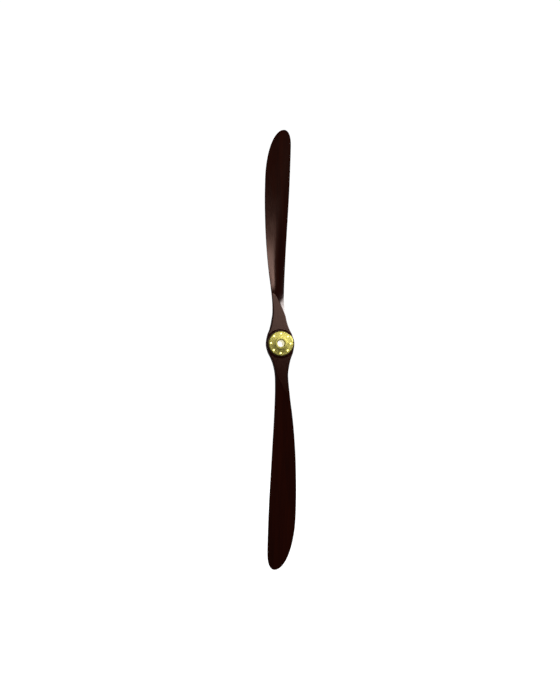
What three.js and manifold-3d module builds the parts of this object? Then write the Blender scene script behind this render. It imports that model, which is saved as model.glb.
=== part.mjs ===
// A two-blade wooden propeller: five boards glued into one block and carved, clamped between a
// turned brass front plate and a flanged brass barrel by eight bolts with washers and hex nuts.
//
// Frame: millimetres, +Z along the upper blade, -Y forwards along the shaft, +X to the right as
// seen from the front. The origin is the shaft axis at the barrel's rear seat.
import * as THREE from "three";
import { mergeVertices } from "three/addons/utils/BufferGeometryUtils.js";
import Module from "manifold-3d";

const wasm = await Module();
wasm.setup();

// Overall size of the carved wood
const propellerLength = 1870;
const boardCount = 5;
const boardThickness = 11;
const tongueDepth = 4.5; // how far the flat tongues lie behind the top of the boss
const bossLand = 2; // flat wood left around the front plate
const bossShoulder = 6; // the boss is rounded over this width, out to its foot
const hubRim = 5.4; // wood outside the plate at the hub's two sides

// Fasteners
const boltCount = 8;
const boltCircle = 82;
const boltRadius = 3;
const headRadius = 4.6;
const headEdge = 1; // height of the head's straight side
const headRound = 1.6;
const headCrown = 0.3;
const nutFlats = 10;
const nutHeight = 4.8;
const washerRadius = 6;
const washerThickness = 1.6;
const boltProud = 0.8; // how far the bolt shows behind its nut

// Front plate
const plateThickness = 6;
const plateEdge = 2; // thickness left at the rim of its rounded shoulder
const plateShoulder = 5;
const headMargin = 2.4; // flat plate outside the bolt heads
const ringHeight = 1.6;
const ringWidth = 6;

// Barrel with its rear flange
const boreRadius = 14.5;
const barrelWall = 3.5;
const seatRadius = 23;
const seatLength = 8; // from the rear seat to the flange
const flangeThickness = 6;
const barrelSetback = 0.5; // the barrel ends this far inside the plate's ring
const boreChamfer = 1;

// Clearances
const barrelFit = 0.3;
const boltFit = 0.4;
const threadFit = 0.3;

// Blade surfaces. Heights are above and below a helical sheet through the blade.
const pitch = 1180; // advance of the sheet in one turn
const pitchSoftening = 205; // keeps the sheet from turning edge-on at the shaft
const tipRake = 12; // the tip lies this far behind the middle of the boards
const rakeStart = 0.03; // share of the span outside the neck
const edgeThickness = 3;
const rootSwell = 185; // extra half thickness at the shaft, so the hub stays a full block
const swellReach = 223;

// Smoothness
const rootStations = 16;
const bladeStations = 10;
const tipStations = 8;
const pointsAcross = 8;
const roundSides = 40;
const boltSides = 10;
const washerSides = 16;

// Sizes that follow from the ones above
const bladeReach = propellerLength / 2;
const woodDepth = boardCount * boardThickness;
const plateRadius = boltCircle / 2 + headRadius + headMargin + plateShoulder;
const hubHalfWidth = plateRadius + hubRim;
const bossRadius = plateRadius + bossLand + bossShoulder;
const neckReach = 2.6 * hubHalfWidth;
const barrelRadius = boreRadius + barrelWall;
const flangeFront = -(seatLength + flangeThickness);
const woodFront = flangeFront - woodDepth;
const woodMiddle = flangeFront - woodDepth / 2;
const plateFront = woodFront - plateThickness;
const ringFront = plateFront - ringHeight;
const nutSeat = washerThickness - seatLength;

// Plan outline, seen from the front. At the hub each point is [distance from the shaft, distance
// from the blade's axis], both as a share of the hub's half width.
const hubLeadingPlan = [[0, 1], [0.61, 0.922], [1.08, 0.766], [1.6, 0.66], [2.26, 0.602]];
const hubTrailingPlan = [[0, 1], [0.61, 0.856], [1.08, 0.613], [1.6, 0.418], [2.26, 0.288]];

// Along the blade the first number is a share of the span outside the neck. The second is the
// distance from the blade's axis in millimetres.
const bladeLeadingPlan = [[0.089, 45.4], [0.191, 57.6], [0.3, 67.8], [0.446, 77], [0.643, 82.4]];
const bladeTrailingPlan = [[0.045, 14.2], [0.191, 15.3], [0.408, 20.6], [0.643, 26.9], [0.88, 29.2]];
const tipTurn = { leadStart: 0.7, leadPower: 2.05, trailStart: 0.88, trailPower: 3.6 };

// Height of the cambered front and of the flatter back, in the same two parts. Between two
// distances from the shaft the front turns from a wing profile to a plain arc.
const arcStart = 150;
const arcFull = 260;
const hubCamber = [[0, 26], [1.7, 27], [2.4, 23]];
const bladeCamber = [[0.05, 15], [0.11, 10.8], [0.191, 9.8], [0.52, 7.8], [1, 1.8]];
const hubBelly = [[0, 28], [1.7, 26], [2.4, 20]];
const bladeBelly = [[0.08, 12], [0.191, 6], [0.38, 2], [1, 0.4]];

const varnishedWood = new THREE.MeshStandardMaterial({ color: 0x2a120d, roughness: 0.3 });
const polishedBrass = new THREE.MeshStandardMaterial({ color: 0xb8a040, roughness: 0.3, metalness: 1 });

// Distance from the shaft at a share of the span outside the neck.
function spanPosition(share) {
  return neckReach + share * (bladeReach - neckReach);
}

// A smooth curve through the points of a hub list and a blade list, level at both ends.
function smoothCurve(hubPoints, hubScale, bladePoints) {
  const points = hubPoints.map(([share, value]) => [share * hubHalfWidth, value * hubScale]);
  for (const [share, value] of bladePoints) points.push([spanPosition(share), value]);
  const last = points.length - 1;
  const slopes = points.map((point, i) => {
    if (i === 0 || i === last) return 0;
    return (points[i + 1][1] - points[i - 1][1]) / (points[i + 1][0] - points[i - 1][0]);
  });
  return (position) => {
    if (position >= points[last][0]) return points[last][1];
    const i = points.findLastIndex((point) => point[0] <= position);
    const width = points[i + 1][0] - points[i][0];
    const t = (position - points[i][0]) / width;
    const bend = (slopes[i] * (1 - t) - slopes[i + 1] * t) * width * t * (1 - t);
    const blend = t * t * (3 - 2 * t);
    return points[i][1] * (1 - blend) + points[i + 1][1] * blend + bend;
  };
}

const leadingOffset = smoothCurve(hubLeadingPlan, hubHalfWidth, bladeLeadingPlan);
const trailingOffset = smoothCurve(hubTrailingPlan, hubHalfWidth, bladeTrailingPlan);
const camberHeight = smoothCurve(hubCamber, 1, bladeCamber);
const bellyHeight = smoothCurve(hubBelly, 1, bladeBelly);

// The share of its offset that an edge keeps between the start of the tip's curve and the tip.
function tipClosure(position, startShare, power) {
  const start = spanPosition(startShare);
  const share = THREE.MathUtils.clamp((position - start) / (bladeReach - start), 0, 1);
  return Math.sqrt(1 - share ** power);
}

// Height of a wing profile across the blade: 0 at both edges, 1 at its thickest.
function wingProfile(t) {
  return 2.969 * Math.sqrt(t) - 1.26 * t - 3.516 * t ** 2 + 2.843 * t ** 3 - 1.036 * t ** 4;
}

// Height of the front's camber, which is a plain arc on the outer part of the blade.
function frontProfile(t, position) {
  const arc = 4 * t * (1 - t);
  return THREE.MathUtils.lerp(wingProfile(t), arc, THREE.MathUtils.smoothstep(position, arcStart, arcFull));
}

// One cross-section of the upper blade, as front and back rows of [x, depth] from the leading
// edge to the trailing edge. Depth is measured forwards from the middle of the boards.
function crossSection(position) {
  const lead = leadingOffset(position) * tipClosure(position, tipTurn.leadStart, tipTurn.leadPower);
  const trail = trailingOffset(position) * tipClosure(position, tipTurn.trailStart, tipTurn.trailPower);
  const slope = pitch / (2 * Math.PI * Math.hypot(position, pitchSoftening));
  const raked = Math.max(0, (position - spanPosition(rakeStart)) / (bladeReach - spanPosition(rakeStart)));
  const swell = rootSwell * Math.max(0, 1 - position / swellReach) ** 2;
  const front = [];
  const back = [];
  for (let i = 0; i <= pointsAcross; i++) {
    const across = (1 - Math.cos((Math.PI * i) / pointsAcross)) / 2;
    const x = -lead + across * (lead + trail);
    const sheet = slope * ((trail - lead) / 2 - x) - tipRake * raked;
    const half = edgeThickness / 2 + swell;
    front.push([x, sheet + half + camberHeight(position) * frontProfile(across, position)]);
    back.push([x, sheet - half - bellyHeight(position) * wingProfile(1 - across)]);
  }
  return { front, back };
}

// Distances from the shaft at which the blade's cross-sections stand, closest at the tip.
function stationPositions() {
  const positions = [];
  const bladeStart = spanPosition(0.191);
  const tipStart = spanPosition(0.8);
  for (let i = 0; i < rootStations; i++) positions.push((bladeStart * i) / rootStations);
  for (let i = 0; i < bladeStations; i++) {
    positions.push(bladeStart + ((tipStart - bladeStart) * i) / bladeStations);
  }
  for (let i = 0; i < tipStations; i++) {
    positions.push(tipStart + (bladeReach - tipStart) * Math.sin((Math.PI / 2) * (i / tipStations)));
  }
  return positions;
}

// A closed skin over rings of points, drawn in to one point beyond each end.
function closedLoft(rings, firstTip, lastTip) {
  const size = rings[0].length;
  const positions = [firstTip, ...rings.flat(), lastTip].flat();
  const end = rings.length * size + 1;
  const index = [];
  for (let i = 0; i < size; i++) {
    const next = (i + 1) % size;
    index.push(0, 1 + next, 1 + i);
    for (let ring = 0; ring < rings.length - 1; ring++) {
      const a = 1 + ring * size;
      index.push(a + i, a + next, a + size + next, a + i, a + size + next, a + size + i);
    }
    index.push(end, end - size + i, end - size + next);
  }
  const geometry = new THREE.BufferGeometry();
  geometry.setAttribute("position", new THREE.Float32BufferAttribute(positions, 3));
  geometry.setIndex(index);
  return geometry;
}

// Both carved blades in one skin. The lower blade is the upper one turned half round the shaft.
function bladePair() {
  const upper = stationPositions();
  const rings = [];
  for (const z of [...upper.slice(1).map((position) => -position).reverse(), ...upper]) {
    const { front, back } = crossSection(Math.abs(z));
    const side = z < 0 ? -1 : 1;
    const ring = [...front, ...back.reverse()].map(([x, depth]) => [side * x, woodMiddle - depth, z]);
    if (z < 0) {
      // Start at the same side as the upper blade's rings and run the same way round.
      const across = front.length;
      rings.push([...ring.slice(0, across).reverse(), ...ring.slice(across).reverse()]);
    } else {
      rings.push(ring);
    }
  }
  const tipY = woodMiddle + tipRake;
  return closedLoft(rings, [0, tipY, -bladeReach], [0, tipY, bladeReach]);
}

// A solid from a geometry, with its seams joined and the empty triangles at its poles left out.
function toSolid(geometry) {
  const bare = geometry.clone();
  bare.deleteAttribute("normal");
  bare.deleteAttribute("uv");
  const joined = mergeVertices(bare, 1e-4);
  const index = joined.getIndex().array;
  const triangles = [];
  for (let i = 0; i < index.length; i += 3) {
    const [a, b, c] = [index[i], index[i + 1], index[i + 2]];
    if (a !== b && b !== c && c !== a) triangles.push(a, b, c);
  }
  return new wasm.Manifold(
    new wasm.Mesh({
      numProp: 3,
      vertProperties: new Float32Array(joined.getAttribute("position").array),
      triVerts: new Uint32Array(triangles),
    }),
  );
}

// A solid turned about the shaft's direction from a closed outline of [radius, y] points, given
// anticlockwise with the radius to the right and y upwards.
function turned(outline, sides, x = 0, z = 0) {
  const points = [...outline, outline[0]].map(([radius, y]) => new THREE.Vector2(radius, y));
  return toSolid(new THREE.LatheGeometry(points, sides).translate(x, 0, z));
}

function rod(radius, rearY, frontY, sides, x = 0, z = 0) {
  const length = rearY - frontY;
  const shape = new THREE.CylinderGeometry(radius, radius, length, sides);
  return toSolid(shape.translate(x, (rearY + frontY) / 2, z));
}

// A solid box between two corners.
function block(low, high) {
  const size = high.map((value, i) => value - low[i]);
  const middle = high.map((value, i) => (value + low[i]) / 2);
  return toSolid(new THREE.BoxGeometry(...size).translate(...middle));
}

function namedMesh(name, solid, material) {
  const { vertProperties, triVerts } = solid.getMesh();
  const geometry = new THREE.BufferGeometry();
  geometry.setAttribute("position", new THREE.BufferAttribute(new Float32Array(vertProperties), 3));
  geometry.setIndex(new THREE.BufferAttribute(new Uint32Array(triVerts), 1));
  geometry.computeVertexNormals();
  const mesh = new THREE.Mesh(geometry, material.clone());
  mesh.name = name;
  return mesh;
}

// A quarter of an ellipse from its outer side to its top, for rounded shoulders.
function roundedShoulder(outerRadius, baseY, width, height, steps) {
  const points = [];
  for (let i = 0; i <= steps; i++) {
    const angle = ((Math.PI / 2) * i) / steps;
    points.push([outerRadius - width * (1 - Math.cos(angle)), baseY - height * Math.sin(angle)]);
  }
  return points;
}

const boltPlaces = Array.from({ length: boltCount }, (_, i) => {
  const angle = (2 * Math.PI * i) / boltCount;
  return [(boltCircle / 2) * Math.sin(angle), (boltCircle / 2) * Math.cos(angle)];
});

function boltHoles(rearY, frontY) {
  const holes = boltPlaces.map(([x, z]) => rod(boltRadius + boltFit, rearY, frontY, boltSides, x, z));
  return wasm.Manifold.union(holes);
}

// The block's shape: flat tongues with a round boss standing proud of them at the hub.
function woodBlank() {
  const reach = [2 * hubHalfWidth + 200, 0, bladeReach + 1];
  const tongueFront = woodFront + tongueDepth;
  const slab = block([-reach[0], tongueFront, -reach[2]], [reach[0], flangeFront, reach[2]]);
  const inner = boreRadius / 2;
  const shoulder = roundedShoulder(bossRadius, tongueFront, bossShoulder, tongueDepth, 4);
  const outline = [[inner, woodFront], [inner, woodMiddle], [bossRadius, woodMiddle], ...shoulder];
  return slab.add(turned(outline.reverse(), 1.5 * roundSides));
}

function addBoards(group) {
  const carved = woodBlank().intersect(toSolid(bladePair()));
  const barrelHole = rod(barrelRadius + barrelFit, flangeFront + 1, woodFront - 1, roundSides);
  const drilled = carved.subtract(barrelHole).subtract(boltHoles(flangeFront + 1, woodFront - 1));
  const place = ["front", "inner_front", "middle", "inner_rear", "rear"];
  for (let i = 0; i < boardCount; i++) {
    const front = woodFront + i * boardThickness;
    const slice = block([-500, front, -bladeReach - 2], [500, front + boardThickness, bladeReach + 2]);
    const label = boardCount === place.length ? `_${place[i]}` : "";
    group.add(namedMesh(`board_${i + 1}${label}`, drilled.intersect(slice), varnishedWood));
  }
}

function frontPlate() {
  const inner = barrelRadius + barrelFit;
  const ringOuter = inner + ringWidth;
  const shoulder = roundedShoulder(
    plateRadius, woodFront - plateEdge, plateShoulder, plateThickness - plateEdge, 4,
  );
  const outline = [[inner, ringFront], [inner, woodFront], [plateRadius, woodFront], ...shoulder];
  outline.push([ringOuter + 0.6, plateFront], [ringOuter, ringFront]);
  return turned(outline.reverse(), roundSides).subtract(boltHoles(woodFront + 1, ringFront - 1));
}

function hubBarrel() {
  const frontEnd = ringFront + barrelSetback;
  const flangeRear = -seatLength;
  const outline = [
    [boreRadius, -boreChamfer],
    [boreRadius + boreChamfer, 0],
    [seatRadius, 0],
    [seatRadius, flangeRear],
    [plateRadius, flangeRear],
    [plateRadius, flangeFront],
    [barrelRadius, flangeFront],
    [barrelRadius, frontEnd],
    [boreRadius + boreChamfer, frontEnd],
    [boreRadius, frontEnd + boreChamfer],
  ];
  return turned(outline.reverse(), roundSides).subtract(boltHoles(flangeRear + 1, flangeFront - 1));
}

function hubBolt(x, z) {
  const sideTop = plateFront - headEdge;
  const round = roundedShoulder(headRadius, sideTop, headRound, headRound, 3);
  const outline = [[0, plateFront], [headRadius, plateFront], ...round];
  outline.push([0, sideTop - headRound - headCrown]);
  const head = turned(outline.reverse(), 16, x, z);
  const shankEnd = nutSeat + nutHeight + boltProud;
  return head.add(rod(boltRadius, shankEnd, plateFront - headEdge / 2, boltSides, x, z));
}

function rearWasher(x, z) {
  const inner = boltRadius + boltFit;
  const seat = -seatLength;
  const outline = [[inner, seat], [washerRadius, seat], [washerRadius, nutSeat], [inner, nutSeat]];
  return turned(outline, washerSides, x, z);
}

function hexNut(x, z) {
  const rear = nutSeat + nutHeight;
  const hex = rod(nutFlats / 2 / Math.cos(Math.PI / 6), rear, nutSeat, 6, x, z);
  return hex.subtract(rod(boltRadius + threadFit, rear + 1, nutSeat - 1, boltSides, x, z));
}

function addFasteners(group) {
  boltPlaces.forEach(([x, z], i) => {
    group.add(namedMesh(`hub_bolt_${i + 1}`, hubBolt(x, z), polishedBrass));
    group.add(namedMesh(`rear_washer_${i + 1}`, rearWasher(x, z), polishedBrass));
    group.add(namedMesh(`hex_nut_${i + 1}`, hexNut(x, z), polishedBrass));
  });
}

const propeller = new THREE.Group();
propeller.name = "propeller";
addBoards(propeller);
propeller.add(namedMesh("front_plate", frontPlate(), polishedBrass));
propeller.add(namedMesh("hub_barrel", hubBarrel(), polishedBrass));
addFasteners(propeller);
export default propeller;
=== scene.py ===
"""A two-blade wooden propeller with a brass hub, built as separate pieces.

Metres throughout. +Z runs along the upper blade, -Y forwards along the shaft and +X to the right
as seen from the front. The origin is the shaft axis at the barrel's rear seat.
"""

import math

import bmesh
import bpy
from bpy.props import FloatProperty, FloatVectorProperty, PointerProperty
from mathutils import Matrix, Vector


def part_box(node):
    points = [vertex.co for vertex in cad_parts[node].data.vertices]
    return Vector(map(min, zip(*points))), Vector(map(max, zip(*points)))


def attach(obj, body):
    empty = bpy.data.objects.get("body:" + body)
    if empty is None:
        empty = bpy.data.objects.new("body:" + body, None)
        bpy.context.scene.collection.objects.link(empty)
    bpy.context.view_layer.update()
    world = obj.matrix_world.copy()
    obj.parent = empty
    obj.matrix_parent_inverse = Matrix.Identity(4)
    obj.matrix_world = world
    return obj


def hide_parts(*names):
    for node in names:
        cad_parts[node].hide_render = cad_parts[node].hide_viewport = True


bl_info = {
    "name": "Wooden Propeller",
    "version": (1, 0, 0),
    "blender": (4, 5, 0),
    "location": "3D View > Sidebar > Propeller",
    "description": "Builds a carved two-blade propeller with its brass hub, and a plain studio",
    "category": "Object",
}

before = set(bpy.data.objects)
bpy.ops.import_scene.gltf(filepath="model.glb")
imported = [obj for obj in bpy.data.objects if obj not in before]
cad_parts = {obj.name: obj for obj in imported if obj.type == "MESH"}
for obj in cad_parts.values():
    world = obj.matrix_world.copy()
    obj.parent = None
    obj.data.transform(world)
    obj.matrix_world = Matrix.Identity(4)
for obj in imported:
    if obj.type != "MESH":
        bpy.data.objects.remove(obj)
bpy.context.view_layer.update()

BODY = "root"
BOARDS = (
    "board_1_front",
    "board_2_inner_front",
    "board_3_middle",
    "board_4_inner_rear",
    "board_5_rear",
)
BOLT_COUNT = 8

# The bolt heads' own sizes.
HEAD_RADIUS = 0.0046
HEAD_EDGE = 0.001
HEAD_ROUND = 0.0016
HEAD_HEIGHT = 0.0029

# Places and sizes that the fixed frame gives. The reach and the radius are measured from the
# shaft's axis, and the others lie along Y.
WOOD_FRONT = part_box("board_1_front")[0][1]
WOOD_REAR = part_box("board_5_rear")[1][1]
WOOD_MIDDLE = (WOOD_FRONT + WOOD_REAR) / 2
TIP_SLACK = 0.00001
BLADE_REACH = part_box("board_4_inner_rear")[1][2] - TIP_SLACK
PLATE_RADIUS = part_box("front_plate")[1][0]
RING_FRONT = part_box("front_plate")[0][1]
BARREL_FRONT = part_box("hub_barrel")[0][1]
FLANGE_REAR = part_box("rear_washer_1")[0][1]
NUT_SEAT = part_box("rear_washer_1")[1][1]
NUT_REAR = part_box("hex_nut_1")[1][1]
BOLT_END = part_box("hub_bolt_1")[1][1]
HEAD_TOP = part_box("hub_bolt_1")[0][1]
PLATE_FRONT = HEAD_TOP + HEAD_HEIGHT

# Other sizes of the brass hub, its bolts and the holes for them.
BARREL_FIT = 0.0003
SEAT_RADIUS = 0.023
RING_WIDTH = 0.006
PLATE_EDGE = 0.002
PLATE_SHOULDER = 0.005
BOLT_RADIUS = 0.003
HOLE_RADIUS = 0.0034
WASHER_RADIUS = 0.006
NUT_FLATS = 0.01
NUT_BORE = 0.0033

# How far a cutting shape reaches past what it cuts.
CUT_MARGIN = 0.01
# Two points this close are one, and a face this close to a plane lies on it.
TOUCHING = 2e-6
# A cut that leaves fewer faces than this has failed.
FEWEST_FACES = 8

# Distance from the light panels to what they are aimed at.
PANEL_DISTANCE = 3.2

# Plan outline of a blade. At the hub each point is (distance from the shaft, distance from the
# blade's axis) as shares of the hub's half width. Along the blade it is (share of the span
# outside the neck, distance from the axis in metres).
HUB_LEADING = ((0, 1), (0.61, 0.922), (1.08, 0.766), (1.6, 0.66), (2.26, 0.602))
HUB_TRAILING = ((0, 1), (0.61, 0.856), (1.08, 0.613), (1.6, 0.418), (2.26, 0.288))
BLADE_LEADING = ((0.089, 0.0454), (0.191, 0.0576), (0.3, 0.0678), (0.446, 0.077), (0.643, 0.0824))
BLADE_TRAILING = (
    (0.045, 0.0142),
    (0.191, 0.0153),
    (0.408, 0.0206),
    (0.643, 0.0269),
    (0.88, 0.0292),
)
# The neck's distance from the shaft, in hub half widths.
NECK_REACH = 2.6
# Where each edge starts to turn in at the tip, and the power of its curve.
LEADING_TIP = (0.7, 2.05)
TRAILING_TIP = (0.88, 3.6)
# Where along the span the rake starts, and the chord below which the section gets thinner.
RAKE_START = 0.03
FULL_CHORD = 0.04

# Height of the cambered front and the flatter back above and below the helical sheet, in metres,
# at the same kinds of places as in the outline.
HUB_CAMBER = ((0, 0.026), (1.7, 0.027), (2.4, 0.023))
BLADE_CAMBER = ((0.05, 0.015), (0.11, 0.0108), (0.191, 0.0098), (0.52, 0.0078), (1, 0.0018))
HUB_BELLY = ((0, 0.028), (1.7, 0.026), (2.4, 0.020))
BLADE_BELLY = ((0.08, 0.012), (0.191, 0.006), (0.38, 0.002), (1, 0.0004))
# A wing profile: a share of the square root of the place across, then (factor, power) terms.
PROFILE_ROOT = 2.969
PROFILE_TERMS = ((-1.26, 1.0), (-3.516, 2.0), (2.843, 3.0), (-1.036, 4.0))
# Between these distances from the shaft the front turns from a wing profile into an even arc.
ARC_START, ARC_FULL = 0.15, 0.26

# Cross-sections in each stretch of a blade. The first stretch ends this far past the plate, and
# the next two end at these shares of the span outside the neck.
HUB_ROWS, ROOT_ROWS, BLADE_ROWS, TIP_ROWS = 84, 104, 62, 44
HUB_STRETCH = 0.016
ROOT_END, BLADE_END = 0.191, 0.8


# ---------------------------------------------------------------- settings


class CarvingSettings(bpy.types.PropertyGroup):
    """Sizes of the carved boards."""

    pitch: FloatProperty(
        name="Pitch",
        description="How far the blades' sheet advances in one turn",
        default=1.18,
        min=0.2,
        subtype="DISTANCE",
    )
    pitch_softening: FloatProperty(
        name="Root Softening",
        description="Keeps the sheet from turning edge-on at the shaft",
        default=0.205,
        min=0.01,
        subtype="DISTANCE",
    )
    tip_rake: FloatProperty(
        name="Tip Rake",
        description="How far the tips lie behind the middle of the boards",
        default=0.012,
        subtype="DISTANCE",
    )
    root_swell: FloatProperty(
        name="Root Swell",
        description="Extra half thickness at the shaft, cut off by the block's flat faces",
        default=0.185,
        subtype="DISTANCE",
    )
    swell_reach: FloatProperty(
        name="Swell Reach",
        description="Distance from the shaft at which the swell has died away",
        default=0.223,
        subtype="DISTANCE",
    )
    edge_thickness: FloatProperty(
        name="Edge Thickness",
        description="Thickness of the blades along their edges",
        default=0.003,
        min=0.001,
        subtype="DISTANCE",
    )
    tongue_depth: FloatProperty(
        name="Tongue Depth",
        description="How far the flat tongues lie behind the top of the boss",
        default=0.0045,
        subtype="DISTANCE",
    )
    boss_land: FloatProperty(
        name="Boss Land",
        description="Flat wood left around the brass plate",
        default=0.002,
        subtype="DISTANCE",
    )
    boss_shoulder: FloatProperty(
        name="Boss Shoulder",
        description="Width over which the boss is rounded down to the tongues",
        default=0.006,
        subtype="DISTANCE",
    )
    hub_rim: FloatProperty(
        name="Hub Rim",
        description="Wood outside the plate at the hub's two sides",
        default=0.0054,
        subtype="DISTANCE",
    )
    edge_round: FloatProperty(
        name="Hub Edge Round",
        description="Radius sanded on the hub's outer edges",
        default=0.004,
        subtype="DISTANCE",
    )
    ridge_softness: FloatProperty(
        name="Ridge Softness",
        description="How far the sanded ridges are softened",
        default=0.0012,
        subtype="DISTANCE",
    )
    stain_dark: FloatVectorProperty(
        name="Dark Stain",
        description="Colour of the stained wood between its lighter streaks",
        subtype="COLOR",
        default=(0.084, 0.0064, 0.0002),
        min=0,
        max=1,
    )
    stain_light: FloatVectorProperty(
        name="Light Stain",
        description="Colour of the lighter streaks of the grain",
        subtype="COLOR",
        default=(0.138, 0.0135, 0.0007),
        min=0,
        max=1,
    )


class HubSettings(bpy.types.PropertyGroup):
    """Sizes and colours of the brass hub."""

    bolt_circle: FloatProperty(
        name="Bolt Circle",
        description="Diameter of the circle that the bolts stand on",
        default=0.082,
        subtype="DISTANCE",
    )
    bore_radius: FloatProperty(
        name="Bore Radius",
        description="Radius of the hole for the shaft",
        default=0.0145,
        subtype="DISTANCE",
    )
    barrel_wall: FloatProperty(
        name="Barrel Wall",
        description="Thickness of the barrel around the bore",
        default=0.0035,
        subtype="DISTANCE",
    )
    brass: FloatVectorProperty(
        name="Brass",
        description="Colour of the polished brass",
        subtype="COLOR",
        default=(0.77, 0.68, 0.17),
        min=0,
        max=1,
    )


class StudioSettings(bpy.types.PropertyGroup):
    """The plain studio around the propeller."""

    turn: FloatProperty(
        name="Camera Turn",
        description="Angle of the camera to the left of the shaft's axis",
        default=math.radians(6.85),
        subtype="ANGLE",
    )
    drop: FloatProperty(
        name="Camera Drop",
        description="Angle of the camera below the shaft's axis",
        default=math.radians(4.0),
        subtype="ANGLE",
    )
    roll: FloatProperty(
        name="Camera Roll",
        description="How far the camera is rolled",
        default=math.radians(1.4),
        subtype="ANGLE",
    )
    distance: FloatProperty(
        name="Camera Distance",
        description="Distance from the camera to the middle of the hub",
        default=2.5,
        subtype="DISTANCE",
    )
    lens: FloatProperty(
        name="Lens",
        description="Focal length of the camera in millimetres",
        default=30.45,
    )


# ---------------------------------------------------------------- node trees


class Graph:
    """Adds nodes to one tree, so that a formula reads as a formula."""

    def __init__(self, tree):
        self.tree = tree

    def feed(self, socket, value):
        """Links another node's output to a socket, or sets the socket's own value."""
        if isinstance(value, bpy.types.NodeSocket):
            self.tree.links.new(value, socket)
        else:
            socket.default_value = value

    def add(self, kind, inputs=None, **settings):
        """A new node with its settings and its inputs by name."""
        node = self.tree.nodes.new(kind)
        for name, value in settings.items():
            setattr(node, name, value)
        for key, value in (inputs or {}).items():
            self.feed(node.inputs[key], value)
        return node

    def math(self, operation, *values, clamp=False):
        node = self.add("ShaderNodeMath", operation=operation, use_clamp=clamp)
        for socket, value in zip(node.inputs, values):
            self.feed(socket, value)
        return node.outputs[0]

    def plus(self, a, b):
        return self.math("ADD", a, b)

    def minus(self, a, b):
        return self.math("SUBTRACT", a, b)

    def times(self, a, b):
        return self.math("MULTIPLY", a, b)


def new_geometry_tree(name, inputs):
    """An empty Geometry Nodes tree with a geometry in and out and the given named inputs."""
    tree = bpy.data.node_groups.new(name, "GeometryNodeTree")
    tree.interface.new_socket("Geometry", in_out="INPUT", socket_type="NodeSocketGeometry")
    tree.interface.new_socket("Geometry", in_out="OUTPUT", socket_type="NodeSocketGeometry")
    for label, kind in inputs:
        tree.interface.new_socket(label, in_out="INPUT", socket_type="NodeSocket" + kind)
    return tree


def grown(base, tree, values):
    """The plain mesh that a Geometry Nodes tree makes from a base mesh."""
    holder = bpy.data.objects.new(tree.name + " base", base)
    bpy.context.scene.collection.objects.link(holder)
    modifier = holder.modifiers.new(tree.name, "NODES")
    modifier.node_group = tree
    for item in tree.interface.items_tree:
        if item.item_type == "SOCKET" and item.in_out == "INPUT" and item.name in values:
            modifier[item.identifier] = values[item.name]
    mesh = evaluated_mesh(holder)
    bpy.data.objects.remove(holder)
    return mesh


def evaluated_mesh(holder):
    """A plain mesh of an object as its modifiers leave it."""
    bpy.context.view_layer.update()
    graph = bpy.context.evaluated_depsgraph_get()
    return bpy.data.meshes.new_from_object(holder.evaluated_get(graph), depsgraph=graph)


# ---------------------------------------------------------------- carved wood


def smooth_curve(points):
    """A smooth curve through (position, value) points, level at both ends."""
    last = len(points) - 1
    slopes = [0.0] * len(points)
    for i in range(1, last):
        slopes[i] = (points[i + 1][1] - points[i - 1][1]) / (points[i + 1][0] - points[i - 1][0])

    def value(position):
        if position >= points[last][0]:
            return points[last][1]
        i = max(j for j in range(last) if points[j][0] <= position)
        width = points[i + 1][0] - points[i][0]
        t = (position - points[i][0]) / width
        bend = (slopes[i] * (1 - t) - slopes[i + 1] * t) * width * t * (1 - t)
        blend = t * t * (3 - 2 * t)
        return points[i][1] * (1 - blend) + points[i + 1][1] * blend + bend

    return value


def limited(share):
    """The share itself, kept between 0 and 1."""
    return min(max(share, 0), 1)


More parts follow.
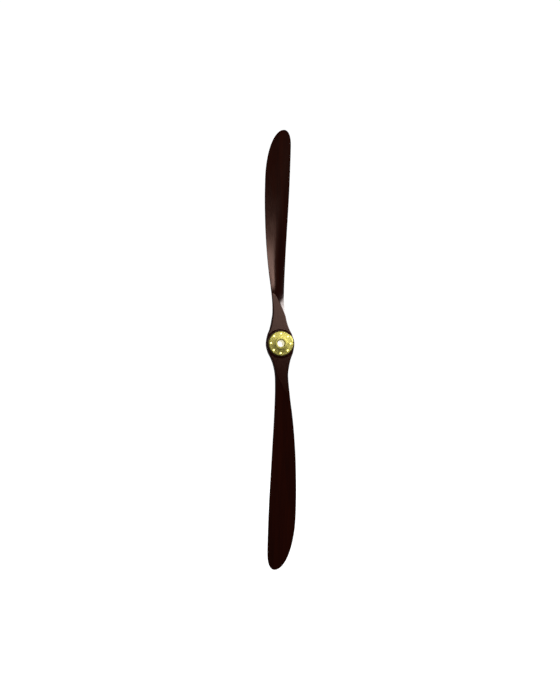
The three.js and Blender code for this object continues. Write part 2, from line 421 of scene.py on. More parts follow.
class BladeShape:
    """The rule that the two blades are carved to."""

    def __init__(self, carving):
        self.carving = carving
        self.half_width = PLATE_RADIUS + carving.hub_rim
        self.neck = NECK_REACH * self.half_width
        self.leading = self.curve(HUB_LEADING, self.half_width, BLADE_LEADING)
        self.trailing = self.curve(HUB_TRAILING, self.half_width, BLADE_TRAILING)
        self.camber = self.curve(HUB_CAMBER, 1, BLADE_CAMBER)
        self.belly = self.curve(HUB_BELLY, 1, BLADE_BELLY)
        self.boss_height = WOOD_MIDDLE - WOOD_FRONT
        self.tongue_height = self.boss_height - carving.tongue_depth
        self.rear_depth = WOOD_REAR - WOOD_MIDDLE

    def span(self, share):
        """Distance from the shaft at a share of the span outside the neck."""
        return self.neck + share * (BLADE_REACH - self.neck)

    def curve(self, hub_points, scale, blade_points):
        """A smooth curve through the hub's points, with scaled values, and the blade's."""
        points = [(share * self.half_width, value * scale) for share, value in hub_points]
        return smooth_curve(points + [(self.span(share), value) for share, value in blade_points])

    def closure(self, position, tip):
        """What is left of an edge's distance where it turns in at the tip."""
        start = self.span(tip[0])
        share = limited((position - start) / (BLADE_REACH - start))
        return math.sqrt(1 - share ** tip[1])

    def arc_share(self, position):
        """How much of the front's camber is an even arc, which it turns into further out."""
        share = limited((position - ARC_START) / (ARC_FULL - ARC_START))
        return share * share * (3 - 2 * share)

    def edges(self, position):
        """Distances of the leading and the trailing edge from the blade's axis."""
        return (
            self.leading(position) * self.closure(position, LEADING_TIP),
            self.trailing(position) * self.closure(position, TRAILING_TIP),
        )

    def station(self, z):
        """The numbers that shape one cross-section, by attribute name."""
        carving = self.carving
        position = abs(z)
        lead, trail = self.edges(position)
        step, least = 0.0002, 1e-9
        near = max(position - step, 0)
        before = self.edges(near)
        turns = [
            1 / math.hypot(1, (after - earlier) / max(position - near, least))
            for after, earlier in zip((lead, trail), before)
        ]
        slope = carving.pitch / (2 * math.pi * math.hypot(position, carving.pitch_softening))
        start = self.span(RAKE_START)
        rake = carving.tip_rake * max(0, (position - start) / (BLADE_REACH - start))
        swell = carving.root_swell * max(0, 1 - position / carving.swell_reach) ** 2
        half = carving.edge_thickness / 2 + swell
        lift = slope * (lead + trail) / 2
        fullness = min(1, (lead + trail) / FULL_CHORD)
        boss_radius = PLATE_RADIUS + carving.boss_land + carving.boss_shoulder
        rounds = []
        for edge, tilt in ((lead, lift), (trail, -lift)):
            on_boss = math.hypot(edge, position) < boss_radius
            top = min(tilt - rake + half, self.boss_height if on_boss else self.tongue_height)
            bottom = max(tilt - rake - half, -self.rear_depth)
            rounds.append(min(carving.edge_round, max(top - bottom, 0) / 2))
        return {
            "side": -1.0 if z < 0 else 1.0,
            "lead": lead,
            "trail": trail,
            "slope": slope,
            "rake": rake,
            "half": half,
            "camber": self.camber(position) * fullness,
            "belly": self.belly(position) * fullness,
            "arc": self.arc_share(position),
            "lead_turn": turns[0],
            "trail_turn": turns[1],
            "lead_round": rounds[0],
            "trail_round": rounds[1],
        }

    def stations(self):
        """Distances along the propeller, closest at the hub and at the tips."""
        hub = PLATE_RADIUS + HUB_STRETCH
        root = self.span(ROOT_END)
        tip = self.span(BLADE_END)
        half = [hub * i / HUB_ROWS for i in range(HUB_ROWS)]
        half += [hub + (root - hub) * i / ROOT_ROWS for i in range(ROOT_ROWS)]
        half += [root + (tip - root) * i / BLADE_ROWS for i in range(BLADE_ROWS)]
        turns = [math.pi / 2 * i / TIP_ROWS for i in range(TIP_ROWS + 1)]
        half += [tip + (BLADE_REACH - tip) * math.sin(turn) for turn in turns]
        return [-z for z in reversed(half[1:])] + half


PLACE_NAMES = ("side", "lead", "trail", "slope", "rake", "half", "camber", "belly", "arc")
ROUNDING_NAMES = ("lead_turn", "trail_turn", "lead_round", "trail_round")


def station_rail(shape):
    """A row of points along the propeller that carries the numbers of each cross-section."""
    places = shape.stations()
    rail = bpy.data.meshes.new("blade stations")
    rail.from_pydata([(0, 0, z) for z in places], [], [])
    rows = [shape.station(z) for z in places]
    for name in PLACE_NAMES + ROUNDING_NAMES:
        layer = rail.attributes.new(name, "FLOAT", "POINT")
        layer.data.foreach_set("value", [row[name] for row in rows])
    return rail


def blade_skin_tree():
    """A tree that wraps a closed skin around a rail of cross-sections.

    Columns run round each cross-section: the front from side to side, down one edge, back
    across the rear and up the other edge. Rows run along the rail.
    """
    tree = new_geometry_tree(
        "Carved blade skin",
        (
            ("Points Across", "Int"),
            ("Edge Steps", "Int"),
            ("Wood Middle", "Float"),
            ("Boss Height", "Float"),
            ("Tongue Height", "Float"),
            ("Rear Depth", "Float"),
            ("Boss Land Radius", "Float"),
            ("Boss Shoulder", "Float"),
            ("Ridge Softness", "Float"),
            ("Material", "Material"),
        ),
    )
    g = Graph(tree)
    given = g.add("NodeGroupInput").outputs
    rail = given["Geometry"]
    across = given["Points Across"]
    steps = given["Edge Steps"]
    size = g.add("GeometryNodeAttributeDomainSize", {"Geometry": rail}, component="MESH")
    rows = size.outputs["Point Count"]
    columns = g.plus(g.times(g.plus(across, steps), 2), 1)
    grid = g.add(
        "GeometryNodeMeshGrid",
        {"Size X": 1, "Size Y": 1, "Vertices X": columns, "Vertices Y": rows},
    )
    index = g.add("GeometryNodeInputIndex").outputs[0]
    column = g.math("FLOOR", g.math("DIVIDE", g.plus(index, 0.5), rows))
    row = g.minus(index, g.times(column, rows))

    def sampled(value, kind="FLOAT"):
        node = g.add(
            "GeometryNodeSampleIndex",
            {"Geometry": rail, "Value": value, "Index": row},
            data_type=kind,
            domain="POINT",
        )
        return node.outputs["Value"]

    def named(name):
        node = g.add("GeometryNodeInputNamedAttribute", {"Name": name}, data_type="FLOAT")
        return sampled(node.outputs["Attribute"])

    place = g.add("GeometryNodeInputPosition").outputs[0]
    z = g.add("ShaderNodeSeparateXYZ", {"Vector": sampled(place, "FLOAT_VECTOR")}).outputs["Z"]
    side, lead, trail, slope, rake, half, camber, belly, arc = (named(name) for name in PLACE_NAMES)
    lead_turn, trail_turn, lead_round, trail_round = (named(name) for name in ROUNDING_NAMES)

    def passed(start, length):
        return g.math("DIVIDE", g.minus(column, start), length, clamp=True)

    # How far the column has gone over the front, down the far edge, back and up the near edge.
    over = passed(0.0, across)
    down = passed(across, steps)
    back = passed(g.plus(across, steps), across)
    up = passed(g.plus(g.times(across, 2), steps), steps)
    turn = g.times(g.minus(over, back), math.pi)
    even = g.times(g.minus(1.0, g.math("COSINE", turn)), 0.5)
    t = g.plus(g.times(g.minus(even, 0.5), side), 0.5)
    level = g.plus(g.minus(1.0, down), up)

    chord = g.plus(lead, trail)
    along = g.minus(g.times(t, chord), lead)
    x = g.times(along, side)
    sheet = g.minus(g.times(slope, g.minus(g.times(g.minus(trail, lead), 0.5), along)), rake)

    def profile(share):
        total = g.times(g.math("SQRT", share), PROFILE_ROOT)
        for factor, power in PROFILE_TERMS:
            total = g.plus(total, g.times(g.math("POWER", share, power), factor))
        return total

    wing = profile(t)
    arched = g.times(g.times(t, g.minus(1.0, t)), 4.0)
    crown = g.plus(wing, g.times(arc, g.minus(arched, wing)))
    front = g.plus(g.plus(sheet, half), g.times(camber, crown))
    rear = g.minus(g.minus(sheet, half), g.times(belly, profile(g.minus(1.0, t))))

    # The block's front: flat tongues, with the round boss standing proud of them.
    radius = g.math("SQRT", g.plus(g.times(x, x), g.times(z, z)))
    past_land = g.minus(radius, given["Boss Land Radius"])
    fall = g.add(
        "ShaderNodeMapRange",
        {
            "Value": g.math("DIVIDE", past_land, given["Boss Shoulder"]),
            "To Min": given["Boss Height"],
            "To Max": given["Tongue Height"],
        },
        interpolation_type="SMOOTHSTEP",
    ).outputs["Result"]
    soft = given["Ridge Softness"]
    front = g.math("SMOOTH_MIN", front, fall, soft)
    rear = g.math("SMOOTH_MAX", rear, g.times(given["Rear Depth"], -1.0), soft)

    def rounding(share, turn_factor, reach):
        inside = g.math("MAXIMUM", g.minus(reach, g.times(g.times(share, chord), turn_factor)), 0.0)
        left = g.math("MAXIMUM", g.minus(g.times(reach, reach), g.times(inside, inside)), 0.0)
        return g.minus(reach, g.math("SQRT", left))

    drop = g.math(
        "MAXIMUM",
        rounding(t, lead_turn, lead_round),
        rounding(g.minus(1.0, t), trail_turn, trail_round),
    )
    front = g.minus(front, drop)
    rear = g.plus(rear, drop)
    gap = g.math("MAXIMUM", g.minus(front, rear), 0.0)
    depth = g.plus(rear, g.times(gap, level))
    position = g.add(
        "ShaderNodeCombineXYZ", {"X": x, "Y": g.minus(given["Wood Middle"], depth), "Z": z}
    ).outputs[0]
    shaped = g.add(
        "GeometryNodeSetPosition", {"Geometry": grid.outputs["Mesh"], "Position": position}
    ).outputs[0]
    merged = {"Geometry": shaped, "Distance": TOUCHING}
    closed = g.add("GeometryNodeMergeByDistance", merged).outputs[0]
    real = g.add("GeometryNodeRealizeInstances", {"Geometry": closed}).outputs[0]
    finished = g.add("GeometryNodeSetMaterial", {"Geometry": real, "Material": given["Material"]})
    g.add("NodeGroupOutput", {"Geometry": finished.outputs[0]})
    return tree


def drum(radius, front, rear, sides, x=0.0, z=0.0):
    """A closed round bar along the shaft's direction, for cutting holes."""
    tool = bmesh.new()
    turn = Matrix.Translation((x, (front + rear) / 2, z)) @ Matrix.Rotation(math.pi / 2, 4, "X")
    bmesh.ops.create_cone(
        tool,
        cap_ends=True,
        segments=sides,
        radius1=radius,
        radius2=radius,
        depth=rear - front,
        matrix=turn,
    )
    return tool


def bolt_places(hub):
    """Where the bolts stand, as (x, z), from the top and clockwise as seen from the front."""
    radius = hub.bolt_circle / 2
    turns = [2 * math.pi * i / BOLT_COUNT for i in range(BOLT_COUNT)]
    return [(radius * math.sin(turn), radius * math.cos(turn)) for turn in turns]


def to_mesh(tool, name):
    """The finished mesh of a working mesh, which is given up."""
    mesh = bpy.data.meshes.new(name)
    tool.to_mesh(mesh)
    tool.free()
    return mesh


def joined(tools, name):
    """One mesh from several separate closed shapes."""
    whole = bmesh.new()
    for tool in tools:
        part = to_mesh(tool, "part")
        whole.from_mesh(part)
        bpy.data.meshes.remove(part)
    return to_mesh(whole, name)


def hole_mesh(hub, front, rear, middle_radius=None):
    """The bolt holes, with the hole for the barrel where a radius is given."""
    tools = [drum(HOLE_RADIUS, front, rear, sides=32, x=x, z=z) for x, z in bolt_places(hub)]
    if middle_radius:
        tools.append(drum(middle_radius, front, rear, sides=128))
    return joined(tools, "holes")


def cut(mesh, steps):
    """A plain mesh after each ("INTERSECT" or "DIFFERENCE", other mesh) in turn."""
    scene = bpy.context.scene.collection
    holder = bpy.data.objects.new("cut", mesh)
    scene.objects.link(holder)
    others = []
    for operation, shape in steps:
        other = bpy.data.objects.new("cutter", shape)
        scene.objects.link(other)
        others.append(other)
        modifier = holder.modifiers.new(operation, "BOOLEAN")
        modifier.operation = operation
        modifier.solver = "MANIFOLD"
        modifier.object = other
    result = evaluated_mesh(holder)
    for other in [holder, *others]:
        bpy.data.objects.remove(other)
    if len(result.polygons) < FEWEST_FACES:
        raise RuntimeError("a cut left nothing of " + mesh.name)
    return result


def slab_mesh(low, high):
    """A slab between two places along Y, wider and longer than the propeller."""
    width, length = 0.6, 2 * BLADE_REACH + 0.1
    tool = bmesh.new()
    bmesh.ops.create_cube(tool, size=1.0)
    for vertex in tool.verts:
        vertex.co.x *= width
        vertex.co.y = low if vertex.co.y < 0 else high
        vertex.co.z *= length
    return to_mesh(tool, "slab")


def sharpen_flats(mesh, planes):
    """Smooth shading, with sharp edges kept, and those around flat faces on the given planes."""
    facing, sharp_angle = 0.9, math.radians(38)
    tool = bmesh.new()
    tool.from_mesh(mesh)

    def on_plane(face):
        return abs(face.normal.y) > facing and any(
            all(abs(vertex.co.y - plane) < TOUCHING for vertex in face.verts) for plane in planes
        )

    flat = {face.index for face in tool.faces if on_plane(face)}
    for face in tool.faces:
        face.smooth = True
    for edge in tool.edges:
        sides = [face.index in flat for face in edge.link_faces]
        if len(sides) != 2 or sides[0] != sides[1]:
            edge.smooth = False
        elif edge.calc_face_angle(0) > sharp_angle:
            edge.smooth = False
    tool.to_mesh(mesh)
    tool.free()


def new_piece(name, mesh, material):
    """A piece of the given mesh and material, riding on the propeller's one body."""
    piece = bpy.data.objects.new(name, mesh)
    bpy.context.scene.collection.objects.link(piece)
    mesh.materials.clear()
    mesh.materials.append(material)
    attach(piece, BODY)
    return piece


# ---------------------------------------------------------------- finishes


def new_material(name):
    """A material, with the graph of its nodes and its one shader."""
    material = bpy.data.materials.new(name)
    material.use_nodes = True
    tree = material.node_tree
    tree.nodes.clear()
    g = Graph(tree)
    shader = g.add("ShaderNodeBsdfPrincipled")
    g.add("ShaderNodeOutputMaterial", {"Surface": shader.outputs[0]})
    return material, g, shader


def stretched(g, scale, offset, turn):
    """Object coordinates, stretched, moved and turned."""
    where = g.add("ShaderNodeTexCoord").outputs["Object"]
    mapping = g.add("ShaderNodeMapping", {"Vector": where, "Scale": scale})
    mapping.inputs["Location"].default_value = offset
    mapping.inputs["Rotation"].default_value = turn
    return mapping.outputs[0]


def noise(g, vector, scale, detail, roughness, distortion=0.0):
    return g.add(
        "ShaderNodeTexNoise",
        {
            "Vector": vector,
            "Scale": scale,
            "Detail": detail,
            "Roughness": roughness,
            "Distortion": distortion,
        },
    ).outputs["Fac"]


def ramp(g, value, stops):
    """A colour that follows a value through (place, colour) stops."""
    node = g.add("ShaderNodeValToRGB", {"Fac": value})
    bar = node.color_ramp
    while len(bar.elements) < len(stops):
        bar.elements.new(0.5)
    for element, (place, color) in zip(bar.elements, stops):
        element.position = place
        element.color = (*color, 1)
    return node.outputs["Color"]


def varnished_wood(number, carving):
    """Stained hardwood under gloss varnish, with a grain of its own for each board."""
    material, g, shader = new_material(f"Varnished board {number}")
    dark = Vector(carving.stain_dark)
    light = Vector(carving.stain_light)
    shift = (0.37 * number, 0.61 * number, 1.3 * number)
    lean = (0.004 * (number % 3 - 1), 0.0, 0.0)

    def grain(length, scale, detail, roughness=0.55, distortion=0.0, turn=(0.0, 0.0, 0.0)):
        """Noise drawn out along the boards: the smaller the length, the longer the streaks."""
        where = stretched(g, (1.0, 1.0, length), shift, turn)
        return noise(g, where, scale, detail, roughness, distortion)

    figure = grain(0.045, scale=34.0, detail=5.0, roughness=0.6, distortion=0.9, turn=lean)
    fibre = grain(0.012, scale=420.0, detail=3.0, roughness=0.6)
    cloud = grain(0.3, scale=7.0, detail=2.0)
    smudge = grain(0.4, scale=23.0, detail=3.0)
    ripple = grain(0.12, scale=46.0, detail=2.0)

    figure_share, fibre_share, cloud_share = 0.62, 0.28, 0.35
    tone = g.plus(g.times(figure, figure_share), g.times(fibre, fibre_share))
    tone = g.plus(tone, g.times(g.minus(cloud, 0.5), cloud_share))
    stops = ((0.3, tuple(dark * 0.7)), (0.46, tuple(dark.lerp(light, 0.35))), (0.62, tuple(light)))
    g.feed(shader.inputs["Base Color"], ramp(g, tone, stops))

    smoothest, smudging = 0.14, 0.11
    g.feed(shader.inputs["Roughness"], g.plus(smoothest, g.times(smudge, smudging)))
    relief = g.plus(g.times(fibre, 0.35), g.times(ripple, 0.65))
    bump = g.add("ShaderNodeBump", {"Height": relief, "Strength": 0.22, "Distance": 0.0006})
    g.feed(shader.inputs["Normal"], bump.outputs[0])
    shader.inputs["Specular Tint"].default_value = (1.0, 0.57, 0.44, 1)
    shader.inputs["Coat Weight"].default_value = 0.12
    shader.inputs["Coat Roughness"].default_value = 0.12
    return material


def turned_brass(name, hub, tone, rough, rings=1.0):
    """Brass with the fine rings of the lathe, slightly clouded.

    The tone scales its colour, which paints light and shade: it lightens or darkens this copy of
    the one brass. The rings' share says how plainly they show.
    """
    material, g, shader = new_material(name)
    where = g.add("ShaderNodeTexCoord").outputs["Object"]
    parts = g.add("ShaderNodeSeparateXYZ", {"Vector": where}).outputs
    squares = g.plus(g.times(parts["X"], parts["X"]), g.times(parts["Z"], parts["Z"]))
    radius = g.math("SQRT", squares)
    line = g.add("ShaderNodeCombineXYZ", {"X": radius, "Y": parts["Y"], "Z": 0.0}).outputs[0]
    turning = noise(g, line, scale=1500.0, detail=3.0, roughness=0.7)
    cloud = noise(g, where, scale=60.0, detail=4.0, roughness=0.6)
    # Painted light and shade: the tone lightens or darkens this piece's copy of the one brass
    # colour.
    color = Vector(hub.brass) * tone
    stops = ((0.3, tuple(color * 0.86)), (0.7, tuple(color)))
    g.feed(shader.inputs["Base Color"], ramp(g, cloud, stops))
    clouding, scoring, relief = 0.12, 0.06 * rings, 0.3 * rings
    clouded = g.plus(rough - 0.05, g.times(cloud, clouding))
    g.feed(shader.inputs["Roughness"], g.plus(clouded, g.times(turning, scoring)))
    bump = g.add("ShaderNodeBump", {"Height": turning, "Strength": relief, "Distance": 0.00008})
    g.feed(shader.inputs["Normal"], bump.outputs[0])
    shader.inputs["Metallic"].default_value = 1.0
    return material


# ---------------------------------------------------------------- hub pieces


def lathe(outline, segments, name):
    """A closed mesh turned about the shaft from a closed outline of (radius, y) points."""
    tool = bmesh.new()
    rings = []
    for i in range(segments):
        turn = 2 * math.pi * i / segments
        rings.append(
            [tool.verts.new((r * math.sin(turn), y, r * math.cos(turn))) for r, y in outline]
        )
    count = len(outline)
    for i in range(segments):
        this, other = rings[i], rings[(i + 1) % segments]
        for j in range(count):
            k = (j + 1) % count
            tool.faces.new((this[j], this[k], other[k], other[j]))
    same, no_area = 1e-7, 1e-13
    bmesh.ops.remove_doubles(tool, verts=tool.verts, dist=same)
    empty = [face for face in tool.faces if face.calc_area() < no_area]
    bmesh.ops.delete(tool, geom=empty, context="FACES_ONLY")
    bmesh.ops.recalc_face_normals(tool, faces=tool.faces)
    return to_mesh(tool, name)


def arc(centre_r, centre_y, radius, start, end, steps):
    """Points on an arc in the plane of (radius, y), with angles in degrees."""
    points = []
    for i in range(steps + 1):
        turn = math.radians(start + (end - start) * i / steps)
        points.append((centre_r + radius * math.cos(turn), centre_y + radius * math.sin(turn)))
    return points


def plate_outline(hub):
    """The front plate: a disc with a rounded shoulder and a raised ring around the barrel."""
    eased, chamfer, fillet, ring_round = 0.0003, 0.0004, 0.0006, 0.0005
    steps = 14
    inner = hub.bore_radius + hub.barrel_wall + BARREL_FIT
    ring = inner + RING_WIDTH
    height = WOOD_FRONT - PLATE_FRONT - PLATE_EDGE
    points = [
        (inner, RING_FRONT + chamfer),
        (inner, WOOD_FRONT - eased),
        (inner + eased, WOOD_FRONT),
        (PLATE_RADIUS - chamfer, WOOD_FRONT),
        (PLATE_RADIUS, WOOD_FRONT - chamfer),
    ]
    for i in range(steps + 1):
        turn = math.pi / 2 * i / steps
        r = PLATE_RADIUS - PLATE_SHOULDER * (1 - math.cos(turn))
        points.append((r, WOOD_FRONT - PLATE_EDGE - height * math.sin(turn)))
    points += arc(ring + 2 * fillet, PLATE_FRONT - fillet, fillet, 90, 180, 4)
    points += [(ring + fillet, RING_FRONT + ring_round)]
    points += arc(ring + fillet - ring_round, RING_FRONT + ring_round, ring_round, 0, -90, 5)
    points += [(inner + chamfer, RING_FRONT)]
    return points


def barrel_outline(hub):
    """The barrel: a bored tube with a rear flange and a turned seat behind it.

    Its corners are eased by two sizes of chamfer, each bent at its middle.
    """
    large, large_middle = 0.001, 0.0003
    small, small_middle = 0.0005, 0.00015
    lip = 0.0004
    bore = hub.bore_radius
    outer = bore + hub.barrel_wall
    return [
        (bore, BARREL_FRONT + large),
        (bore, -large),
        (bore + large_middle, -lip),
        (bore + large, 0.0),
        (SEAT_RADIUS - small, 0.0),
        (SEAT_RADIUS - small_middle, -small_middle),
        (SEAT_RADIUS, -small),
        (SEAT_RADIUS, FLANGE_REAR + large),
        (SEAT_RADIUS + large_middle, FLANGE_REAR + large_middle),
        (SEAT_RADIUS + large, FLANGE_REAR),
        (PLATE_RADIUS - large, FLANGE_REAR),
        (PLATE_RADIUS - large_middle, FLANGE_REAR - large_middle),
        (PLATE_RADIUS, FLANGE_REAR - large),
        (PLATE_RADIUS, WOOD_REAR + small),
        (PLATE_RADIUS - small, WOOD_REAR),
        (outer, WOOD_REAR),
        (outer, BARREL_FRONT + small),
        (outer - small, BARREL_FRONT),
        (bore + large, BARREL_FRONT),
        (bore + lip, BARREL_FRONT + large_middle),
    ]


def hexagon_cut(flats, front, rear):
    """A hexagonal bar across the given flats, for shaping a turned blank."""
    return to_mesh(drum(flats / 2 / math.cos(math.pi / 6), front, rear, sides=6), "hexagon")


def bolt_mesh():
    """A bolt with a low polished head in front, and its plain end behind the nut."""
    chamfer, tight = 0.0006, 0.0002
    crown_steps = 6
    points = [(0.0, BOLT_END), (BOLT_RADIUS - chamfer, BOLT_END)]
    points += [(BOLT_RADIUS, BOLT_END - chamfer), (BOLT_RADIUS, PLATE_FRONT)]
    points += [(HEAD_RADIUS - tight, PLATE_FRONT), (HEAD_RADIUS, PLATE_FRONT - tight)]
    points += arc(HEAD_RADIUS - HEAD_ROUND, PLATE_FRONT - HEAD_EDGE, HEAD_ROUND, 0, -82, 9)
    edge_r, edge_y = points[-1]
    for i in range(1, crown_steps + 1):
        share = 1 - i / crown_steps
        points.append((edge_r * share, HEAD_TOP + (edge_y - HEAD_TOP) * share**2))
    return lathe(points, 48, "bolt")


def washer_mesh():
    """A flat washer with eased edges."""
    front, rear, eased = FLANGE_REAR, NUT_SEAT, 0.00025
    points = [
        (HOLE_RADIUS, front + eased),
        (HOLE_RADIUS + eased, front),
        (WASHER_RADIUS - eased, front),
        (WASHER_RADIUS, front + eased),
        (WASHER_RADIUS, rear - eased),
        (WASHER_RADIUS - eased, rear),
        (HOLE_RADIUS + eased, rear),
        (HOLE_RADIUS, rear - eased),
    ]
    return lathe(points, 40, "washer")


def nut_mesh():
    """A hexagon nut with its corners turned off."""
    eased, turned_off, margin = 0.0003, 0.0006, 0.001
    face = NUT_FLATS / 2 - 0.0001
    corner = NUT_FLATS / 2 / math.cos(math.pi / 6)
    points = [
        (NUT_BORE, NUT_SEAT + eased),
        (NUT_BORE + eased, NUT_SEAT),
        (face, NUT_SEAT),
        (corner, NUT_SEAT + turned_off),
        (corner, NUT_REAR - turned_off),
        (face, NUT_REAR),
        (NUT_BORE + eased, NUT_REAR),
        (NUT_BORE, NUT_REAR - eased),
    ]
    blank = lathe(points, 48, "nut blank")
    bar = hexagon_cut(NUT_FLATS, NUT_SEAT - margin, NUT_REAR + margin)
    return cut(blank, [("INTERSECT", bar)])


def bolt_ring_tree():
    """A tree that stands copies of one fastener around the bolt circle."""
    tree = new_geometry_tree(
        "Bolt ring", (("Count", "Int"), ("Ring Radius", "Float"), ("Material", "Material"))
    )
    g = Graph(tree)
    given = g.add("NodeGroupInput").outputs
    line = g.add("GeometryNodeMeshLine", {"Count": given["Count"], "Offset": (0.0, 0.0, 0.0)})
    index = g.add("GeometryNodeInputIndex").outputs[0]
    turn = g.math("DIVIDE", g.times(index, 2 * math.pi), given["Count"])
    place = g.add(
        "ShaderNodeCombineXYZ",
        {
            "X": g.times(g.math("SINE", turn), given["Ring Radius"]),
            "Z": g.times(g.math("COSINE", turn), given["Ring Radius"]),
        },
    ).outputs[0]
    points = g.add(
        "GeometryNodeSetPosition", {"Geometry": line.outputs["Mesh"], "Position": place}
    ).outputs[0]
    angle = g.add("ShaderNodeCombineXYZ", {"Y": turn}).outputs[0]
    copies = g.add(
        "GeometryNodeInstanceOnPoints",
        {"Points": points, "Instance": given["Geometry"], "Rotation": angle},
    ).outputs[0]
    real = g.add("GeometryNodeRealizeInstances", {"Geometry": copies}).outputs[0]
    finished = g.add("GeometryNodeSetMaterial", {"Geometry": real, "Material": given["Material"]})
    g.add("NodeGroupOutput", {"Geometry": finished.outputs[0]})
    return tree


def add_ring(name, mesh, material, hub):
    """Repeats one fastener around the hub, as one piece that stands for its eight nodes."""
    ring = grown(
        mesh,
        bolt_ring_tree(),
        {"Count": BOLT_COUNT, "Ring Radius": hub.bolt_circle / 2, "Material": material},
    )
    ring.set_sharp_from_angle(angle=math.radians(30))
    piece = new_piece(name + "s", ring, material)
    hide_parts(*[f"{name}_{i + 1}" for i in range(BOLT_COUNT)])
    return piece


# ---------------------------------------------------------------- operators


class PROPELLER_OT_carve_boards(bpy.types.Operator):
    """Carve the five glued boards into two blades and a hub"""

    bl_idname = "propeller.carve_boards"
    bl_label = "Carve Boards"

    def execute(self, context):
        carving = context.scene.propeller_carving
        hub = context.scene.propeller_hub
        shape = BladeShape(carving)
        skin = grown(
            station_rail(shape),
            blade_skin_tree(),
            {
                "Points Across": 100,
                "Edge Steps": 10,
                "Wood Middle": WOOD_MIDDLE,
                "Boss Height": shape.boss_height,
                "Tongue Height": shape.tongue_height,
                "Rear Depth": shape.rear_depth,
                "Boss Land Radius": PLATE_RADIUS + carving.boss_land,
                "Boss Shoulder": carving.boss_shoulder,
                "Ridge Softness": carving.ridge_softness,
            },
        )
        middle = hub.bore_radius + hub.barrel_wall + BARREL_FIT
        holes = hole_mesh(hub, WOOD_FRONT - CUT_MARGIN, WOOD_REAR + CUT_MARGIN, middle)
        drilled = cut(skin, [("DIFFERENCE", holes)])
        for number, node in enumerate(BOARDS, 1):
            low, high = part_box(node)
            board = cut(drilled.copy(), [("INTERSECT", slab_mesh(low[1], high[1]))])
            sharpen_flats(board, (low[1], high[1]))
            piece = new_piece(f"carved_board_{number}", board, varnished_wood(number, carving))
            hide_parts(node)
        return {"FINISHED"}


class PROPELLER_OT_turn_front_plate(bpy.types.Operator):
    """Turn the brass front plate with its raised ring"""

    bl_idname = "propeller.turn_front_plate"
    bl_label = "Turn Front Plate"

    def execute(self, context):
        hub = context.scene.propeller_hub
        blank = lathe(plate_outline(hub), 192, "front plate")
        holes = hole_mesh(hub, RING_FRONT - CUT_MARGIN, WOOD_FRONT + CUT_MARGIN)
        plate = cut(blank, [("DIFFERENCE", holes)])
        plate.shade_smooth()
        plate.set_sharp_from_angle(angle=math.radians(28))
        # The plate's copy of the brass is darkened to 0.78 of its colour, painted shade.
        brass = turned_brass("Turned plate", hub, tone=0.78, rough=0.3, rings=0.6)
        piece = new_piece("turned_front_plate", plate, brass)
        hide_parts("front_plate")
        bpy.data.collections["lit by the rim panel"].objects.link(piece)
        return {"FINISHED"}


class PROPELLER_OT_turn_barrel(bpy.types.Operator):
    """Turn the brass barrel with its rear flange and seat"""

    bl_idname = "propeller.turn_barrel"
    bl_label = "Turn Barrel"

    def execute(self, context):
        hub = context.scene.propeller_hub
        blank = lathe(barrel_outline(hub), 192, "barrel")
        reach = 0.002  # the bolt holes start this far in front of the flange
        holes = hole_mesh(hub, WOOD_REAR - reach, CUT_MARGIN)
        barrel = cut(blank, [("DIFFERENCE", holes)])
        barrel.shade_smooth()
        barrel.set_sharp_from_angle(angle=math.radians(28))
        # The barrel's copy of the brass is darkened to 0.9 of its colour, painted shade.
        brass = turned_brass("Turned barrel", hub, tone=0.9, rough=0.3)
        piece = new_piece("turned_barrel", barrel, brass)
        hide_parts("hub_barrel")
        bpy.data.collections["lit by the bore card"].objects.link(piece)
        return {"FINISHED"}


class PROPELLER_OT_fit_fasteners(bpy.types.Operator):
    """Fit the ring of bolts, washers and nuts"""

    bl_idname = "propeller.fit_fasteners"
    bl_label = "Fit Fasteners"

    def execute(self, context):
        hub = context.scene.propeller_hub
        # The heads' copy of the brass is lightened to 1.15 of its colour, a painted highlight that
        # makes them read as bright glints. The satin fasteners' copy is darkened to 0.95, painted
        # shade.
        polished = turned_brass("Polished heads painted bright", hub, tone=1.15, rough=0.1, rings=0.2)
        satin = turned_brass("Satin fasteners", hub, tone=0.95, rough=0.28, rings=0.6)
        bolts = add_ring("hub_bolt", bolt_mesh(), polished, hub)
        bpy.data.collections["lit by the bolt panel"].objects.link(bolts)
        add_ring("rear_washer", washer_mesh(), satin, hub)
        add_ring("hex_nut", nut_mesh(), satin, hub)
        return {"FINISHED"}


# ---------------------------------------------------------------- studio


def studio_surface():
    """A pale round floor that curves up into a wall and a ceiling, as one closed room."""
    below, radius, bend, height = 0.03, 6.5, 2.0, 8.0
    bend_steps, segments = 16, 72
    floor = -BLADE_REACH - below
    profile = [(0.0, floor)]
    for middle, start in ((floor + bend, -90), (floor + height - bend, 0)):
        for i in range(bend_steps + 1):
            turn = math.radians(start + 90 * i / bend_steps)
            profile.append((radius - bend + bend * math.cos(turn), middle + bend * math.sin(turn)))
    profile.append((0.0, floor + height))
    count = len(profile)
    turns = [2 * math.pi * i / segments for i in range(segments)]
    sheet = bpy.data.meshes.new("studio")
    points = [(r * math.cos(turn), r * math.sin(turn), z) for turn in turns for r, z in profile]
    faces = []
    for i in range(segments):
        here, there = i * count, (i + 1) % segments * count
        faces += [(here + k, here + k + 1, there + k + 1, there + k) for k in range(count - 1)]
    sheet.from_pydata(points, [], faces)
    sheet.shade_smooth()
    return sheet


def add_light(name, place, target, size, power, height=None):
    """A soft lamp aimed at a target, which the camera doesn't see."""
    data = bpy.data.lights.new(name, "AREA")
    data.energy = power
    data.size = size
    if height:
        data.shape = "RECTANGLE"
        data.size_y = height
    lamp = bpy.data.objects.new(name, data)
    lamp.location = place
    lamp.rotation_euler = (Vector(target) - Vector(place)).to_track_quat("-Z", "Y").to_euler()
    lamp.visible_camera = False
    bpy.context.scene.collection.objects.link(lamp)
    return lamp


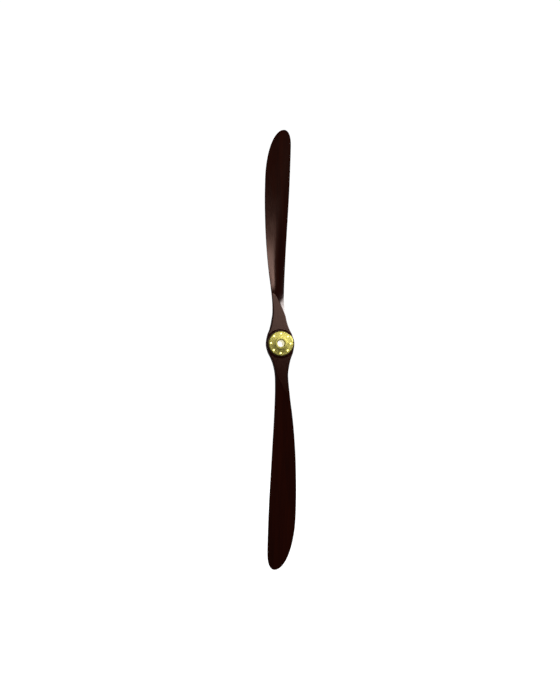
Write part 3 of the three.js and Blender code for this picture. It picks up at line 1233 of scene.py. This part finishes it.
def add_panel(name, target, direction, spread, glow):
    """A soft panel seen from its target in a direction, with a spread, both in degrees.

    Each pair is (round to the right from straight ahead, up). The glow is its brightness.
    """
    turn, rise = (math.radians(angle) for angle in direction)
    level = math.cos(rise)
    out = Vector((math.sin(turn) * level, -math.cos(turn) * level, math.sin(rise)))
    width, height = (2 * PANEL_DISTANCE * math.tan(math.radians(angle) / 2) for angle in spread)
    place = Vector(target) + out * PANEL_DISTANCE
    return add_light(name, place, target, width, glow * math.pi * width * height, height=height)


def light_only(lamp, collection_name):
    """Keeps a lamp's light to the pieces that a new collection will hold."""
    lit = bpy.data.collections.new(collection_name)
    bpy.context.scene.collection.children.link(lit)
    lamp.light_linking.receiver_collection = lit


def add_lights():
    """The soft panels around the propeller, and the three that light one piece each."""
    middle = (0.0, WOOD_MIDDLE, 0.0)
    ridge = (0.0, WOOD_MIDDLE, 0.16)
    upper_root = (0.0, WOOD_MIDDLE, 0.36)
    add_panel("front panel", middle, direction=(10, 9.5), spread=(26, 9), glow=2.0)
    key = add_panel("key", upper_root, direction=(22, 14.5), spread=(40, 6.5), glow=5.6)
    ridge_panel = add_panel("ridge panel", ridge, direction=(36, 11), spread=(26, 5), glow=9.0)
    key.visible_diffuse = False
    ridge_panel.visible_diffuse = False
    add_panel("rear panel", middle, direction=(167, 11), spread=(24, 20), glow=2.2)
    add_panel("rear key", upper_root, direction=(136, 20), spread=(36, 18), glow=4.5)
    add_panel("side panel", middle, direction=(-88, 16), spread=(30, 16), glow=0.6)
    card = add_light("bore card", (0.25, 1.3, 0.2), middle, size=1.2, power=9)
    light_only(card, "lit by the bore card")
    glint = add_panel("bolt panel", middle, direction=(-8, 8), spread=(50, 44), glow=6.5)
    light_only(glint, "lit by the bolt panel")
    rim = add_panel("rim panel", middle, direction=(76, 22), spread=(24, 34), glow=7.0)
    light_only(rim, "lit by the rim panel")


def add_camera(studio):
    """The camera, turned and dropped about the middle of the hub, and rolled."""
    turn, drop, roll = studio.turn, studio.drop, studio.roll
    level = math.cos(drop)
    out = Vector((-math.sin(turn) * level, -math.cos(turn) * level, -math.sin(drop)))
    right = (-out).cross(Vector((0, 0, 1))).normalized()
    up = right.cross(-out)
    tilted_right = right * math.cos(roll) + up * math.sin(roll)
    tilted_up = up * math.cos(roll) - right * math.sin(roll)
    data = bpy.data.cameras.new("camera")
    data.sensor_fit = "VERTICAL"
    data.sensor_height = 36
    data.lens = studio.lens
    data.shift_y = -0.0086
    camera = bpy.data.objects.new("camera", data)
    axes = Matrix((tilted_right, tilted_up, out)).transposed().to_4x4()
    middle = Vector((0.0, WOOD_MIDDLE, 0.0))
    camera.matrix_world = Matrix.Translation(middle + out * studio.distance) @ axes
    bpy.context.scene.collection.objects.link(camera)
    bpy.context.scene.camera = camera


class PROPELLER_OT_set_stage(bpy.types.Operator):
    """Set up the pale studio, its lights and the camera"""

    bl_idname = "propeller.set_stage"
    bl_label = "Set Stage"

    def execute(self, context):
        surface = bpy.data.objects.new("studio", studio_surface())
        context.scene.collection.objects.link(surface)
        paper, _, shader = new_material("Studio paper")
        shader.inputs["Base Color"].default_value = (0.9, 0.9, 0.9, 1)
        shader.inputs["Roughness"].default_value = 0.9
        shader.inputs["Emission Color"].default_value = (1, 1, 1, 1)
        shader.inputs["Emission Strength"].default_value = 1.0
        surface.data.materials.append(paper)
        # The room is bright to the camera, but it doesn't show in the varnish.
        surface.visible_glossy = False
        surface.visible_diffuse = False
        surface.visible_shadow = False

        world = bpy.data.worlds.new("studio air")
        world.use_nodes = True
        background = world.node_tree.nodes["Background"]
        background.inputs["Color"].default_value = (1, 1, 1, 1)
        background.inputs["Strength"].default_value = 0.045
        context.scene.world = world
        context.scene.view_settings.view_transform = "Standard"

        add_lights()
        add_camera(context.scene.propeller_studio)
        return {"FINISHED"}


# ---------------------------------------------------------------- panel and start


OPERATORS = (
    PROPELLER_OT_set_stage,
    PROPELLER_OT_carve_boards,
    PROPELLER_OT_turn_front_plate,
    PROPELLER_OT_turn_barrel,
    PROPELLER_OT_fit_fasteners,
)


class PROPELLER_PT_build(bpy.types.Panel):
    """Lists the propeller's settings and the operators that build it"""

    bl_label = "Wooden Propeller"
    bl_idname = "PROPELLER_PT_build"
    bl_space_type = "VIEW_3D"
    bl_region_type = "UI"
    bl_category = "Propeller"

    def draw(self, context):
        for settings in (
            context.scene.propeller_carving,
            context.scene.propeller_hub,
            context.scene.propeller_studio,
        ):
            column = self.layout.column(align=True)
            for name in settings.__annotations__:
                column.prop(settings, name)
        for operator in OPERATORS:
            self.layout.operator(operator.bl_idname)


CLASSES = (CarvingSettings, HubSettings, StudioSettings, *OPERATORS, PROPELLER_PT_build)


def register():
    for cls in CLASSES:
        bpy.utils.register_class(cls)
    bpy.types.Scene.propeller_carving = PointerProperty(type=CarvingSettings)
    bpy.types.Scene.propeller_hub = PointerProperty(type=HubSettings)
    bpy.types.Scene.propeller_studio = PointerProperty(type=StudioSettings)


def unregister():
    del bpy.types.Scene.propeller_studio
    del bpy.types.Scene.propeller_hub
    del bpy.types.Scene.propeller_carving
    for cls in reversed(CLASSES):
        bpy.utils.unregister_class(cls)


def main():
    register()
    bpy.ops.propeller.set_stage()
    bpy.ops.propeller.carve_boards()
    bpy.ops.propeller.turn_front_plate()
    bpy.ops.propeller.turn_barrel()
    bpy.ops.propeller.fit_fasteners()


if __name__ == "__main__":
    main()
